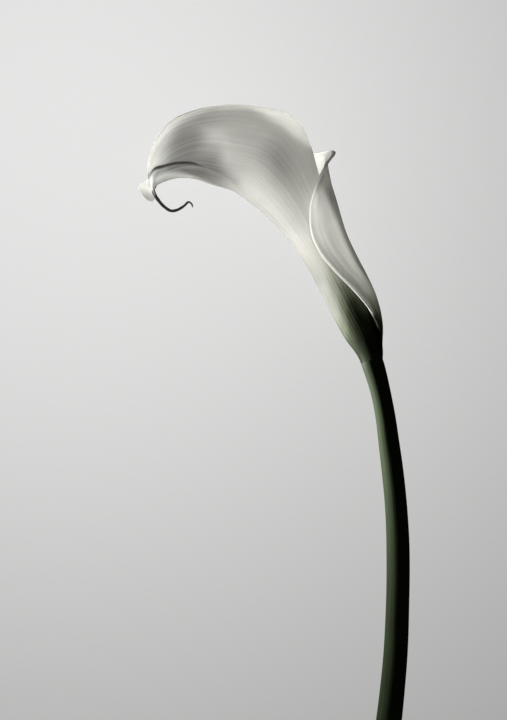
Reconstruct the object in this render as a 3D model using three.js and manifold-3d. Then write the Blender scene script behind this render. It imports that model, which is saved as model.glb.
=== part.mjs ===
// A cut calla lily flower that lies on a flat surface, in millimetres, with +Z up.
// It has three pieces: the stem, the rolled white spathe with its curled tail, and the spadix that stands
// on the stem's top inside the spathe.
//
// Every shape below is laid out from the neck, the place where the spathe grows from the stem: x and y are
// measured from there, and z from the surface. A last group moves the neck to its place in the part's frame.
import * as THREE from 'three';
import { mergeVertices } from 'three/addons/utils/BufferGeometryUtils.js';
import Module from 'manifold-3d';

// The neck in the part's frame, whose origin is the middle of the flower's own box, at the surface.
const NECK = [47.4, 40.9, 0];

const SHEET = 0.9; // thickness of the spathe
const CLEARANCE = 0.3; // left between pieces that touch

// The line through the middle of the stem and of the spadix: x, y, z, from the cut end to the spadix's tip.
// The stem lies on the surface up to about 60 mm from the neck and then rises.
const AXIS = [
  [8.3, -202, 6.45],
  [10.6, -185, 6.35],
  [12.3, -170, 6.2],
  [13.9, -152, 5.95],
  [14.8, -130, 5.85],
  [15.1, -110, 5.75],
  [14.8, -92, 5.65],
  [13.8, -75, 5.5],
  [12.3, -60, 5.45],
  [10.5, -46, 6.3],
  [8.5, -32, 8.9],
  [6.1, -20.5, 11.4],
  [3.2, -10, 13.8],
  [0.1, -0.6, 15.8],
  [-3.4, 9.9, 16.8],
  [-7.7, 21.0, 18.0],
  [-12.6, 31.2, 19.3],
  [-18.1, 41.5, 20.8],
  [-23.6, 52.4, 22.3],
  [-29.5, 65.2, 23.8],
];
const NECK_POINT = 13; // the point of AXIS that is the neck

// Radius of the stem at a distance from the neck. It is thick at the cut end and flares a little at the neck.
const STEM_RADIUS = [
  [-204.4, 6.6],
  [-172, 6.35],
  [-154, 6.1],
  [-112, 5.9],
  [-77, 5.65],
  [-48, 5.3],
  [-33, 5.1],
  [-21, 5.05],
  [-10, 5.35],
  [0, 5.9],
];
const STEM_RINGS = 30;
const STEM_SIDES = 20;
const BOSS = { radius: 3.4, height: 4 }; // the stem's own end, inside the spathe's base

// Radius of the spadix at a distance from its foot, and its florets, in staggered rings.
const SPADIX_LENGTH = 66;
const SPADIX_RADIUS = [
  [0, 3.1],
  [6, 3.9],
  [30, 4.4],
  [52, 4.0],
  [61, 3.1],
  [64.5, 1.9],
  [66, 0.5],
];
const FLORET_RINGS = 54;
const SPADIX_SIDES = 24;
const FLORET_HEIGHT = 0.45;

// The spathe is two wings that meet along its midrib. Stations run from 0 at the neck to 1 at the tip.
// The midrib: station, x, y, z.
const MIDRIB = [
  [0, -5.5, -2.5, 15.8],
  [0.071, -11.6, 6.0, 16.8],
  [0.147, -17.3, 16.1, 18.0],
  [0.219, -22.2, 26.1, 19.3],
  [0.294, -27.5, 36.1, 20.8],
  [0.369, -33.3, 46.1, 22.3],
  [0.45, -40.4, 56.1, 23.8],
  [0.534, -48.9, 65.5, 25.3],
  [0.62, -58.9, 74.0, 26.3],
  [0.7, -68.9, 80.6, 26.8],
  [0.768, -78.9, 83.7, 26.8],
  [0.827, -87.4, 86.4, 26.8],
  [0.883, -95.9, 87.0, 26.8],
  [0.934, -103.2, 85.0, 26.3],
  [0.964, -107.1, 82.8, 25.8],
  [0.985, -107.9, 80.3, 25.3],
  [1, -107.2, 77.8, 24.8],
];

// Each wing's section is an arc of an ellipse that starts at the midrib: station, lean of its height axis
// from +X in degrees, half height, half depth, and how far it wraps round in degrees.
const UPPER_WING = [
  [0, 19, 5.3, 5.4, 172],
  [0.071, 25, 8.8, 8.3, 161],
  [0.147, 27, 10.5, 10.5, 155],
  [0.219, 28, 10.5, 11.3, 152],
  [0.294, 30, 10.5, 12.0, 150],
  [0.369, 33, 11.3, 13.5, 150],
  [0.45, 40, 14.0, 16.5, 149],
  [0.534, 45.2, 17.8, 21.5, 146],
  [0.62, 45.9, 23.0, 26.0, 138],
  [0.7, 49.9, 27.4, 28.0, 130],
  [0.768, 55.6, 27.3, 28.0, 126],
  [0.827, 64.4, 25.4, 27.0, 122],
  [0.883, 74.2, 21.8, 23.5, 119],
  [0.934, 86.9, 16.8, 18.0, 117],
  [0.964, 96.1, 10.8, 11.5, 115],
  [0.985, 111, 3.9, 5.5, 112],
  [1, 120, 0.8, 1.0, 110],
];
const LOWER_WING = [
  [0, 19, 5.9, 5.7, 232],
  [0.071, 25, 9.4, 8.8, 237],
  [0.147, 27, 11.0, 10.6, 248],
  [0.219, 28, 11.2, 11.5, 263],
  [0.294, 30, 11.2, 12.2, 275],
  [0.369, 33, 11.8, 13.8, 286],
  [0.45, 40, 14.5, 17.0, 276],
  [0.495, 43.5, 16.6, 19.5, 254],
  [0.534, 47, 19.5, 21.0, 190],
  [0.565, 45, 21.5, 22.0, 160],
  [0.62, 43.8, 23.1, 25.0, 132],
  [0.7, 53.7, 27.5, 26.5, 121],
  [0.768, 59.6, 28.2, 27.0, 118],
  [0.827, 65.4, 25.5, 25.0, 116],
  [0.883, 71.7, 21.7, 21.5, 114],
  [0.934, 95.5, 12.6, 15.0, 112],
  [0.964, 122.7, 5.5, 9.0, 105],
  [0.985, 165, 6.7, 6.0, 105],
  [1, 215, 0.8, 1.0, 100],
];

// The fold along the upper wing, where the hood bulges over the midrib's strip: station, height above the
// midrib, and how far the hood stands out over it.
const FOLD = [
  [0.66, 1.0, 0],
  [0.7, 2.5, 0.3],
  [0.768, 6.0, 1.8],
  [0.827, 7.4, 2.8],
  [0.883, 8.0, 3.0],
  [0.934, 8.2, 2.2],
  [0.964, 8.6, 0.8],
  [0.985, 7.0, 0],
  [1, 4.0, 0],
];
const FOLD_WIDTH = 5;

// Low swells and dents of the upper wing: station, width in stations, height.
const SWELLS = [
  [0.7, 0.07, 1.4],
  [0.845, 0.04, -1.6],
  [0.925, 0.035, 1.0],
];
const LIP = { height: 0.8, width: 4.5 }; // the upper wing's rolled margin
const FLAP_GAP = 1.7; // how far the lower wing stands off where it wraps over the upper one
const FLARE = { height: 2.0, width: 6 }; // the flap's turned-out margin
const CORNER = { station: 0.545, reach: 0.035, height: 2.7, width: 7 }; // the curled top of the flap

// The mesh of the sheet: rows from station to station, closer at the flap's top and at the tip, and columns
// across each wing.
const LAST_STATION = 0.986; // the tail grows on from here
const ROWS = [
  { from: 0, to: 0.42, count: 13 },
  { from: 0.42, to: 0.62, count: 15 },
  { from: 0.62, to: 0.9, count: 8 },
  { from: 0.9, to: LAST_STATION, count: 6 },
];
const UPPER_COLUMNS = 19;
const LOWER_COLUMNS = 26;

// The tail that the tip runs out into: x, y, z and radius.
const TAIL = [
  [-107.0, 83.4, 26.0, 0.7],
  [-108.5, 81.2, 25.3, 1.1],
  [-107.5, 78.3, 24.8, 1.15],
  [-105.7, 75.8, 23.8, 1.15],
  [-103.2, 73.1, 22.3, 1.1],
  [-99.3, 70.9, 20.8, 1.05],
  [-96.2, 71.5, 20.3, 0.95],
  [-93.0, 73.4, 20.8, 0.85],
  [-90.6, 75.2, 21.8, 0.7],
  [-89.3, 74.3, 22.4, 0.6],
  [-88.6, 72.4, 22.8, 0.45],
];
const TAIL_RINGS = 30;
const TAIL_SIDES = 8;

const MATERIALS = {
  stem: new THREE.MeshStandardMaterial({ color: '#20281b', roughness: 0.55, metalness: 0 }),
  spathe: new THREE.MeshStandardMaterial({ color: '#e9e6de', roughness: 0.6, metalness: 0 }),
  spadix: new THREE.MeshStandardMaterial({ color: '#d3b56a', roughness: 0.75, metalness: 0 }),
};

const radians = THREE.MathUtils.degToRad;

/** Eases from 0 at a to 1 at b. */
function ease(a, b, value) {
  const u = THREE.MathUtils.clamp((value - a) / (b - a), 0, 1);
  return u * u * (3 - 2 * u);
}

/** A bump of height 1 at the centre that fades over the width. */
function bump(centre, width, value) {
  return Math.exp(-(((value - centre) / width) ** 2));
}

/** A smooth curve through the rows of a table, read at a place in its first column. */
function along(table, place) {
  const last = table.length - 1;
  const at = THREE.MathUtils.clamp(place, table[0][0], table[last][0]);
  let row = 0;
  while (row < last - 1 && at >= table[row + 1][0]) row += 1;
  const step = (i) => table[i + 1][0] - table[i][0];
  const slope = (i, column) => (table[i + 1][column] - table[i][column]) / step(i);
  const tangent = (i, column) => {
    if (i === 0) return slope(0, column);
    if (i === last) return slope(last - 1, column);
    const before = slope(i - 1, column) * step(i);
    const after = slope(i, column) * step(i - 1);
    return (before + after) / (step(i - 1) + step(i));
  };
  const h = step(row);
  const u = (at - table[row][0]) / h;
  return table[row].slice(1).map((start, index) => {
    const column = index + 1;
    const end = table[row + 1][column];
    return (
      (2 * u ** 3 - 3 * u ** 2 + 1) * start +
      (u ** 3 - 2 * u ** 2 + u) * h * tangent(row, column) +
      (3 * u ** 2 - 2 * u ** 3) * end +
      (u ** 3 - u ** 2) * h * tangent(row + 1, column)
    );
  });
}

/** What would sink into the surface is pressed flat on it. */
function rest(point) {
  point.z = Math.max(point.z, 0);
  return point;
}

/** A turned solid, bent along a curve: its profile is rows of radius and distance, frameAt gives the curve. */
function bentLathe(profile, sides, frameAt, relief = () => 0) {
  const points = profile.map(([radius, distance]) => new THREE.Vector2(radius, distance));
  const geometry = new THREE.LatheGeometry(points, sides);
  const position = geometry.attributes.position;
  const perSide = points.length;
  for (let index = 0; index < position.count; index += 1) {
    const ring = index % perSide;
    const side = Math.floor(index / perSide) % sides;
    const angle = ((side + 0.5) / sides) * 2 * Math.PI;
    const radius = points[ring].x === 0 ? 0 : points[ring].x + relief(ring, side);
    const { centre, across, up } = frameAt(points[ring].y);
    const vertex = centre.clone();
    vertex.addScaledVector(across, radius * Math.sin(angle));
    vertex.addScaledVector(up, radius * Math.cos(angle));
    rest(vertex);
    position.setXYZ(index, vertex.x, vertex.y, vertex.z);
  }
  return geometry;
}

/** Frames along a curve that rises little: across lies level and square to the curve, and up is straight up. */
function curveFrames(points, originPoint) {
  const curve = new THREE.CatmullRomCurve3(points, false, 'centripetal');
  curve.arcLengthDivisions = 800;
  const length = curve.getLength();
  const origin = originPoint === 0 ? 0 : lengthTo(curve, originPoint, points.length);
  return (distance) => {
    const u = THREE.MathUtils.clamp((distance + origin) / length, 0, 1);
    const tangent = curve.getTangentAt(u);
    const across = new THREE.Vector3(tangent.y, -tangent.x, 0).normalize();
    return { centre: curve.getPointAt(u), across, up: new THREE.Vector3(0, 0, 1) };
  };
}

/** Distance along the curve from its start to one of its points. */
function lengthTo(curve, point, count) {
  const lengths = curve.getLengths();
  return lengths[Math.round((point / (count - 1)) * (lengths.length - 1))];
}

const vectors = (rows) => rows.map(([x, y, z]) => new THREE.Vector3(x, y, z));
const axisFrame = curveFrames(vectors(AXIS), NECK_POINT);

/** Stem: a thick round stalk, cut square, with a shoulder under the spathe and a short boss inside it. */
function stemGeometry() {
  const cutEnd = STEM_RADIUS[0][0];
  const profile = [[0, cutEnd]];
  for (let ring = 0; ring <= STEM_RINGS; ring += 1) {
    const distance = THREE.MathUtils.lerp(cutEnd, -CLEARANCE, ring / STEM_RINGS);
    profile.push([along(STEM_RADIUS, distance)[0], distance]);
  }
  profile.push([BOSS.radius, -CLEARANCE]);
  profile.push([BOSS.radius, BOSS.height]);
  profile.push([0, BOSS.height]);
  return bentLathe(profile, STEM_SIDES, axisFrame);
}

/** Spadix: a blunt finger on the stem's boss, covered in florets that stand up in staggered rings. */
function spadixGeometry() {
  const foot = BOSS.height + CLEARANCE;
  const profile = [[0, foot]];
  for (let ring = 0; ring <= FLORET_RINGS; ring += 1) {
    const distance = SPADIX_LENGTH * (ring / FLORET_RINGS);
    profile.push([along(SPADIX_RADIUS, distance)[0], foot + distance]);
  }
  profile.push([0, foot + SPADIX_LENGTH]);
  const floret = (ring, side) => {
    const covered = ease(1, 4, ring) * (1 - ease(FLORET_RINGS - 3, FLORET_RINGS, ring));
    return (ring + side) % 2 === 0 ? FLORET_HEIGHT * covered : 0;
  };
  return bentLathe(profile, SPADIX_SIDES, axisFrame, floret);
}

/** Tail: the thin dark thread at the spathe's tip, curled under it. */
function tailGeometry() {
  const points = vectors(TAIL);
  const frameAt = curveFrames(points, 0);
  const length = new THREE.CatmullRomCurve3(points, false, 'centripetal').getLength();
  const radii = TAIL.map((row, index) => [(index / (TAIL.length - 1)) * length, row[3]]);
  const profile = [[0, 0]];
  for (let ring = 0; ring <= TAIL_RINGS; ring += 1) {
    const distance = length * (ring / TAIL_RINGS);
    profile.push([along(radii, distance)[0], distance]);
  }
  profile.push([0, length]);
  return bentLathe(profile, TAIL_SIDES, frameAt);
}

/** How far the upper wing stands off its ellipse. */
function upperRelief(station, spread, angle, wrap, half) {
  const [foldHeight, overhang] = along(FOLD, station);
  const foldAngle = Math.acos(THREE.MathUtils.clamp(1 - foldHeight / Math.max(half.height, 0.25), -1, 1));
  const pastFold = (angle - foldAngle) * half.mean;
  const hood = Math.max((wrap - foldAngle) * half.mean, 0.5);
  const bulge = ease(-FOLD_WIDTH / 2, FOLD_WIDTH / 2, pastFold) * (1 - ease(0.25, 1, pastFold / hood));
  let relief = Math.max(overhang, 0) * bulge;
  for (const [place, width, height] of SWELLS) {
    relief += height * bump(place, width, station) * ease(0.25, 0.6, spread);
  }
  relief += LIP.height * ease(-LIP.width, 0, (angle - wrap) * half.mean) * ease(0.55, 0.7, station);
  return relief;
}

/** How far the lower wing stands off its ellipse. */
function lowerRelief(station, angle, wrap, half) {
  const fromMargin = (angle - wrap) * half.mean;
  const closed = 1 - ease(0.56, 0.66, station);
  const overlap = ease(radians(100), radians(190), angle) * closed * (0.8 + 0.2 * ease(0, 0.12, station));
  const flared = ease(-FLARE.width, 0, fromMargin) * ease(0.03, 0.2, station) * (1 - ease(0.6, 0.7, station));
  const curl = bump(CORNER.station, CORNER.reach, station) * ease(-CORNER.width, 0, fromMargin);
  return FLAP_GAP * overlap + FLARE.height * flared + CORNER.height * curl;
}

/** A point of the spathe's outer face. Spread runs from 0 at the midrib to 1 at the margin. */
function spathePoint(upper, station, spread) {
  const [lean, height, depth, wrapDegrees] = along(upper ? UPPER_WING : LOWER_WING, station);
  const half = { height, mean: (height + depth) / 2 };
  const wrap = radians(wrapDegrees);
  const angle = wrap * spread;
  const raise = upper
    ? upperRelief(station, spread, angle, wrap, half)
    : lowerRelief(station, angle, wrap, half);
  const normal = new THREE.Vector2(-depth * Math.cos(angle), height * Math.sin(angle)).normalize();
  const relief = raise * ease(0, 0.2, spread);
  const above = height * (1 - Math.cos(angle)) + relief * normal.x;
  const aside = depth * Math.sin(angle) + relief * normal.y;
  const [x, y, z] = along(MIDRIB, station);
  const direction = radians(lean);
  return rest(
    new THREE.Vector3(
      x + above * Math.cos(direction),
      y + above * Math.sin(direction),
      z + (upper ? aside : -aside),
    ),
  );
}

/** Stations of the sheet's rows. */
function spatheStations() {
  const stations = [];
  for (const { from, to, count } of ROWS) {
    for (let row = 0; row < count; row += 1) stations.push(THREE.MathUtils.lerp(from, to, row / count));
  }
  stations.push(LAST_STATION);
  return stations;
}

/** The outer face as rows of points, from the lower wing's margin over the midrib to the upper wing's. */
function outerFace(stations) {
  return stations.map((station) => {
    const row = [];
    for (let column = LOWER_COLUMNS; column > 0; column -= 1) {
      row.push(spathePoint(false, station, column / LOWER_COLUMNS));
    }
    for (let column = 0; column <= UPPER_COLUMNS; column += 1) {
      row.push(spathePoint(true, station, column / UPPER_COLUMNS));
    }
    return row;
  });
}

/** The inner face: each point of the outer face, moved in by the sheet's thickness, which thins at the tip. */
function innerFace(outer, stations) {
  const lastRow = outer.length - 1;
  const lastColumn = outer[0].length - 1;
  return outer.map((row, r) =>
    row.map((point, c) => {
      const down = outer[Math.min(r + 1, lastRow)][c].clone().sub(outer[Math.max(r - 1, 0)][c]);
      const over = row[Math.min(c + 1, lastColumn)].clone().sub(row[Math.max(c - 1, 0)]);
      const inward = down.cross(over).normalize();
      const thickness = SHEET * (1 - 0.3 * ease(0.95, LAST_STATION, stations[r]));
      return point.clone().addScaledVector(inward, thickness);
    }),
  );
}

/** The closed sheet between both faces. The two faces' triangles split their squares the same way. */
function sheetGeometry(outer, inner) {
  const columns = outer[0].length;
  const rows = outer.length;
  const points = [...outer.flat(), ...inner.flat()];
  const outside = (r, c) => r * columns + c;
  const inside = (r, c) => (rows + r) * columns + c;
  const triangles = [];
  const square = (a, b, c, d) => triangles.push(a, c, b, a, d, c);
  for (let r = 0; r < rows - 1; r += 1) {
    for (let c = 0; c < columns - 1; c += 1) {
      const [a, b, e, f] = [outside(r, c), outside(r, c + 1), outside(r + 1, c + 1), outside(r + 1, c)];
      triangles.push(a, b, e, a, e, f);
      const [p, q, s, t] = [inside(r, c), inside(r, c + 1), inside(r + 1, c + 1), inside(r + 1, c)];
      triangles.push(p, s, q, p, t, s);
    }
    square(outside(r, 0), inside(r, 0), inside(r + 1, 0), outside(r + 1, 0));
    const edge = columns - 1;
    square(outside(r + 1, edge), inside(r + 1, edge), inside(r, edge), outside(r, edge));
  }
  for (let c = 0; c < columns - 1; c += 1) {
    square(outside(0, c + 1), inside(0, c + 1), inside(0, c), outside(0, c));
    const end = rows - 1;
    square(outside(end, c), inside(end, c), inside(end, c + 1), outside(end, c + 1));
  }
  const geometry = new THREE.BufferGeometry();
  geometry.setAttribute('position', new THREE.Float32BufferAttribute(points.flatMap((p) => p.toArray()), 3));
  geometry.setIndex(triangles);
  return geometry;
}

const manifold = await Module();
manifold.setup();

/** A closed geometry as a solid that can be joined. */
function solid(geometry) {
  geometry.deleteAttribute('normal');
  geometry.deleteAttribute('uv');
  const merged = mergeVertices(geometry, 1e-4);
  const index = merged.index.array;
  const kept = [];
  for (let i = 0; i < index.length; i += 3) {
    const [a, b, c] = [index[i], index[i + 1], index[i + 2]];
    if (a !== b && b !== c && c !== a) kept.push(a, b, c);
  }
  return new manifold.Manifold(
    new manifold.Mesh({
      numProp: 3,
      vertProperties: Float32Array.from(merged.attributes.position.array),
      triVerts: Uint32Array.from(kept),
    }),
  );
}

/** A joined solid as a geometry again. */
function geometryOf(joined) {
  const mesh = joined.getMesh();
  const geometry = new THREE.BufferGeometry();
  geometry.setAttribute('position', new THREE.Float32BufferAttribute(mesh.vertProperties, 3));
  geometry.setIndex(Array.from(mesh.triVerts));
  return geometry;
}

/** Spathe: the rolled sheet and its tail, grown as one. */
function spatheGeometry() {
  const stations = spatheStations();
  const outer = outerFace(stations);
  const sheet = sheetGeometry(outer, innerFace(outer, stations));
  return geometryOf(solid(sheet).add(solid(tailGeometry())));
}

/** A named piece in its own material. */
function piece(name, geometry) {
  const mesh = new THREE.Mesh(geometry, MATERIALS[name]);
  mesh.name = name;
  return mesh;
}

const flower = new THREE.Group();
flower.position.set(...NECK);
flower.add(piece('stem', stemGeometry()));
flower.add(piece('spathe', spatheGeometry()));
flower.add(piece('spadix', spadixGeometry()));

const part = new THREE.Group();
part.add(flower);

export default part;
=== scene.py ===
# %% [markdown]
# # A cut calla lily, lying on a pale surface
# The flower has three pieces: a thick green stem, one white leaf (the spathe) that is rolled into a funnel
# with a hood, a flap and a curled tail, and a yellow finger of tiny florets (the spadix) inside the funnel.
# Each is built here as a fine mesh over the plain solid of the same name.

# %% Load the fixed frame
import math

import bpy
import numpy as np
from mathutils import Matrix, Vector


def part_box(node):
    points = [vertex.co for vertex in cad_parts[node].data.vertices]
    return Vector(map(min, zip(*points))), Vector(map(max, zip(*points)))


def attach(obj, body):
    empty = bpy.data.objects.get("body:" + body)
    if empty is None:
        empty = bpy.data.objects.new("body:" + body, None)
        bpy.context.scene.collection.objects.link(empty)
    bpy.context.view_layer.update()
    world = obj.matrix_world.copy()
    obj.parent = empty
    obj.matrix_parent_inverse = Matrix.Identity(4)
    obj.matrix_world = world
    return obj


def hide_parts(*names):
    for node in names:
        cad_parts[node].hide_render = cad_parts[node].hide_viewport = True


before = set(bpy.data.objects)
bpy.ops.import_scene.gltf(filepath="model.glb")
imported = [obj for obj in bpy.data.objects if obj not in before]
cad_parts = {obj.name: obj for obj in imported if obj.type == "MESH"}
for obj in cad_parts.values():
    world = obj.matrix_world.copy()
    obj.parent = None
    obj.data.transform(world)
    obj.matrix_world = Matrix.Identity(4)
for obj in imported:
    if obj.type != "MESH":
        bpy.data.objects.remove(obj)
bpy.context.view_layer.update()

print("solids:", sorted(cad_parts))

# %% [markdown]
# Shapes are laid out in millimetres from the neck, where the spathe grows from the stem: x to the right, y
# towards the bloom and z up from the surface. The whole flower is then set where its solids are.

# %% Millimetres, and the neck's place
MM = 0.001
neck = np.array([47.4, 40.9, 0.0])

stem_low, stem_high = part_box("stem")
print("stem solid from", [round(v / MM, 1) for v in stem_low], "to", [round(v / MM, 1) for v in stem_high])

# %% [markdown]
# The photograph looks square at one side of the bloom. The flower lies on its other side, so the camera
# looks straight down, from far enough away to keep the outline almost free of perspective.

# %% Camera
CAMERA_DISTANCE = 1500.0  # from the level of the spathe's midrib
MIDRIB_LEVEL = 26.8
PICTURE_CENTRE = (-58.2, -4.0)  # seen from the neck
PICTURE_HEIGHT = 360.0
SENSOR = 36.0

camera_data = bpy.data.cameras.new("camera")
camera_data.sensor_width = SENSOR
camera_data.lens = SENSOR * CAMERA_DISTANCE / PICTURE_HEIGHT
scene = bpy.context.scene
camera = bpy.data.objects.new("camera", camera_data)
camera.location = (neck + [*PICTURE_CENTRE, MIDRIB_LEVEL + CAMERA_DISTANCE]) * MM
scene.collection.objects.link(camera)
scene.camera = camera
print("lens", camera_data.lens, "mm, looking straight down")

# %% [markdown]
# Petals have no straight lines. Every form below is a few given sizes along a growth line, joined by one
# smooth curve. Small helpers do that: an ease from 0 to 1, a window that opens and closes, a soft bump,
# and a curve through a table. Two more give directions a length of 1 and keep points above the board.


# %% Curves through a few sizes
def ease(start, end, value):
    """0 before start, 1 after end, smooth between."""
    u = np.clip((value - start) / (end - start), 0, 1)
    return u * u * (3 - 2 * u)


def window(start, full, closing, end, value):
    """Opens from 0 to 1 between start and full, and closes between closing and end."""
    return ease(start, full, value) * (1 - ease(closing, end, value))


def bump(centre, width, value):
    """A soft bump of height 1."""
    return np.exp(-(((value - centre) / width) ** 2))


def along(table, place):
    """A smooth curve through a table's rows. The first column says where each row is."""
    rows = np.array(table, float)
    spots, sizes = rows[:, 0], rows[:, 1:]
    gap = np.diff(spots)
    slope = np.diff(sizes, axis=0) / gap[:, None]
    inner = (slope[:-1] * gap[1:, None] + slope[1:] * gap[:-1, None]) / (gap[:-1] + gap[1:])[:, None]
    tangent = np.vstack([slope[:1], inner, slope[-1:]])
    place = np.clip(np.asarray(place, float), spots[0], spots[-1])
    row = np.clip(np.searchsorted(spots, place, side="right") - 1, 0, len(gap) - 1)
    step = gap[row][..., None]
    u = ((place - spots[row]) / gap[row])[..., None]
    here = (2 * u**3 - 3 * u**2 + 1) * sizes[row] + (u**3 - 2 * u**2 + u) * step * tangent[row]
    there = (3 * u**2 - 2 * u**3) * sizes[row + 1] + (u**3 - u**2) * step * tangent[row + 1]
    return here + there


def unit(vectors):
    """The same directions, with length 1."""
    return vectors / np.maximum(np.linalg.norm(vectors, axis=-1, keepdims=True), 1e-9)


def above_board(points):
    """Lifts points that would sink into the board."""
    points[..., 2] = np.maximum(points[..., 2], 0)
    return points


print("a quarter of the way, ease gives", ease(0, 1, 0.25))

# %% [markdown]
# A grid of points becomes a mesh with one face for every four neighbours. The mesh also carries numbers on
# its points, such as how far along the petal a point lies, for the materials to read.


# %% From points to a mesh
def grid_faces(rows, columns, closed):
    """Faces of a grid whose points are numbered row by row."""
    over = np.arange(columns if closed else columns - 1)
    row, column = np.meshgrid(np.arange(rows - 1), over, indexing="ij")
    here, there = row * columns + column, row * columns + (column + 1) % columns
    return np.stack([here, there, there + columns, here + columns], -1).reshape(-1, 4).tolist()


def to_place(points):
    """Points laid out from the neck in millimetres, as places in the frame in metres."""
    return (np.asarray(points, float).reshape(-1, 3) + neck) * MM


def mesh_piece(name, points, faces, **numbers):
    """A smooth mesh object with named numbers on its points."""
    mesh = bpy.data.meshes.new(name)
    mesh.from_pydata(to_place(points).tolist(), [], faces)
    for label, values in numbers.items():
        layer = mesh.attributes.new(label, "FLOAT", "POINT")
        layer.data.foreach_set("value", np.asarray(values, np.float32).ravel())
    mesh.shade_smooth()
    mesh.validate()
    piece = bpy.data.objects.new(name, mesh)
    scene.collection.objects.link(piece)
    print(name, len(mesh.vertices), "points", len(mesh.polygons), "faces")
    return piece


print("the neck is at", to_place((0, 0, 0))[0], "m")

# %% [markdown]
# ## The spathe
# The spathe is one leaf with a midrib and two wings. The midrib is the lower left outline in the
# photograph. The upper wing is the hood that faces the camera. The lower wing goes behind, round the right
# side, and laps back over the upper wing as the flap.
# Cut across, each wing is an arc of an ellipse that starts at the midrib. Five numbers say which arc: where
# it is on the leaf, which way it leans, its half height, its half depth and how far round it goes.

# %% Spathe sizes
# Station along the leaf (0 at the neck, 1 at the tip), x, y, z.
MIDRIB = [
    (-0.045, -3.0, -8.27, 14.5),
    (0, -5.5, -2.5, 15.8),
    (0.071, -11.6, 6.0, 16.8),
    (0.147, -17.3, 16.1, 18.0),
    (0.219, -22.2, 26.1, 19.3),
    (0.294, -27.5, 36.1, 20.8),
    (0.369, -33.3, 46.1, 22.3),
    (0.45, -40.4, 56.1, 23.8),
    (0.534, -48.9, 65.5, 25.3),
    (0.62, -58.9, 74.0, 26.3),
    (0.7, -68.9, 80.6, 26.8),
    (0.768, -78.9, 83.7, 26.8),
    (0.827, -87.4, 86.4, 26.8),
    (0.883, -95.9, 87.0, 26.8),
    (0.934, -103.2, 85.0, 26.3),
    (0.964, -107.1, 82.8, 25.8),
    (0.985, -107.9, 80.3, 25.3),
    (1, -107.2, 77.8, 24.8),
]
# Station, lean in degrees, half height, half depth, wrap in degrees.
UPPER_WING = [
    (-0.045, 17.6, 5.35, 5.35, 178),
    (0, 19, 5.7, 5.65, 178),
    (0.071, 25, 8.8, 8.3, 170),
    (0.147, 27, 10.5, 10.5, 155),
    (0.219, 28, 10.5, 11.3, 152),
    (0.294, 30, 10.5, 12.0, 150),
    (0.369, 33, 11.3, 13.5, 150),
    (0.45, 40, 14.0, 16.5, 149),
    (0.534, 45.2, 17.8, 21.5, 146),
    (0.62, 45.9, 23.0, 26.0, 138),
    (0.7, 49.9, 27.4, 28.0, 130),
    (0.768, 55.6, 27.3, 28.0, 126),
    (0.827, 64.4, 25.4, 27.0, 122),
    (0.883, 74.2, 21.8, 23.5, 119),
    (0.934, 86.9, 16.8, 18.0, 117),
    (0.964, 96.1, 10.8, 11.5, 115),
    (0.985, 111, 3.9, 5.5, 112),
    (1, 120, 0.8, 1.0, 110),
]
LOWER_WING = [
    (-0.045, 17.6, 5.35, 5.35, 190),
    (0, 19, 5.9, 5.7, 192),
    (0.071, 25, 9.4, 8.8, 225),
    (0.147, 27, 11.0, 10.6, 245),
    (0.219, 28, 11.2, 11.5, 259),
    (0.294, 30, 11.2, 12.2, 272),
    (0.369, 33, 11.8, 13.8, 280),
    (0.45, 40, 14.5, 17.0, 273),
    (0.495, 43.5, 16.6, 19.5, 256),
    (0.52, 45.5, 18.3, 20.4, 236),
    (0.541, 47.2, 20.0, 21.1, 205),
    (0.556, 46.3, 20.9, 21.6, 176),
    (0.575, 45, 21.7, 22.2, 154),
    (0.62, 43.8, 23.1, 25.0, 130),
    (0.7, 53.7, 27.5, 26.5, 114),
    (0.768, 59.6, 28.2, 27.0, 116),
    (0.827, 65.4, 25.5, 25.0, 116),
    (0.883, 71.7, 21.7, 21.5, 114),
    (0.934, 95.5, 12.6, 15.0, 112),
    (0.964, 122.7, 5.0, 9.0, 105),
    (0.976, 142, 5.1, 6.8, 105),
    (0.986, 163, 6.6, 6.2, 105),
    (0.991, 173, 5.4, 4.6, 103),
    (0.996, 205, 3.8, 2.8, 102),
    (1, 238, 2.2, 1.4, 100),
]
# The fold where the hood bulges over the strip beside the midrib: station, height above the midrib,
# and how far the hood stands out.
FOLD = [
    (0.66, 1.0, 0),
    (0.7, 2.5, 0.3),
    (0.768, 6.0, 2.0),
    (0.827, 7.1, 3.4),
    (0.883, 7.6, 4.0),
    (0.912, 7.9, 3.9),
    (0.934, 7.9, 3.5),
    (0.964, 7.6, 2.2),
    (0.985, 6.0, 0.5),
    (1, 4.0, 0),
]
FOLD_START, FOLD_END = -0.5, 2.0  # the bulge rises between these
LEAST_HEIGHT = 0.25  # for the fold at the very tip
# The painted shade of the crease under the fold: station, how dark, where it starts and ends beside the
# fold.
CREASE = [
    (0.69, 0, -1.0, 1.6),
    (0.72, 0.15, -1.1, 1.8),
    (0.755, 0.3, -1.4, 2.0),
    (0.79, 0.45, -2.0, 2.2),
    (0.81, 0.6, -2.3, 2.3),
    (0.84, 0.9, -2.6, 2.5),
    (0.88, 1.0, -2.7, 2.4),
    (0.91, 1.0, -2.5, 2.2),
    (0.935, 1.0, -2.0, 1.7),
    (0.955, 0.95, -1.3, 1.2),
    (0.966, 0.8, -0.8, 1.0),
    (0.98, 0.4, -0.7, 0.9),
    (0.99, 0, -0.6, 0.9),
]
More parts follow.
